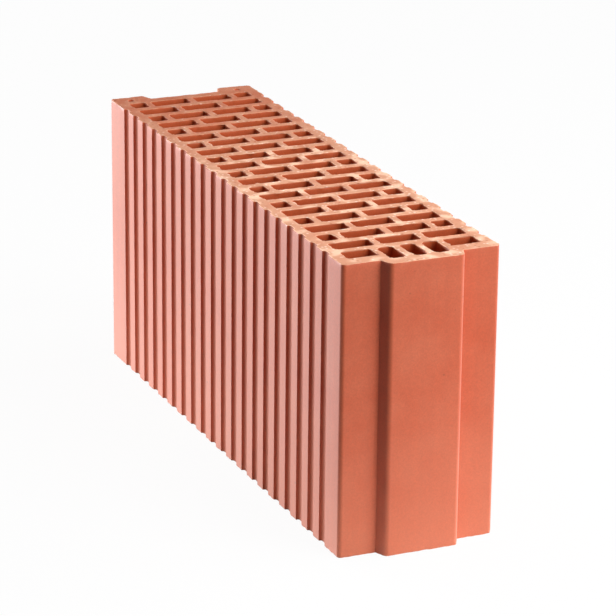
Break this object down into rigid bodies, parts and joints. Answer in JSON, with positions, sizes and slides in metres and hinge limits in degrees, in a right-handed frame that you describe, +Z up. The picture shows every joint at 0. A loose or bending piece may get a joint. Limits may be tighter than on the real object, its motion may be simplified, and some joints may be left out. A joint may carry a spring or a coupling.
{
  "type": "hollow clay block",
  "caption": "Hollow fired-clay wall block with staggered upright cells, ribbed long faces that key plaster, and a tongue and a groove at its ends.",
  "frame": {"origin": "middle of the underside, over the whole length with the tongue", "axes": "+X along the wall towards the tongue, +Y across the wall, +Z up along the cells"},
  "size_m": [0.5106, 0.132, 0.238],
  "materials": {
    "fired_clay": "matte"
  },
  "bodies": {
    "root": {"clay_block": "fired_clay"}
  },
  "joints": []
}
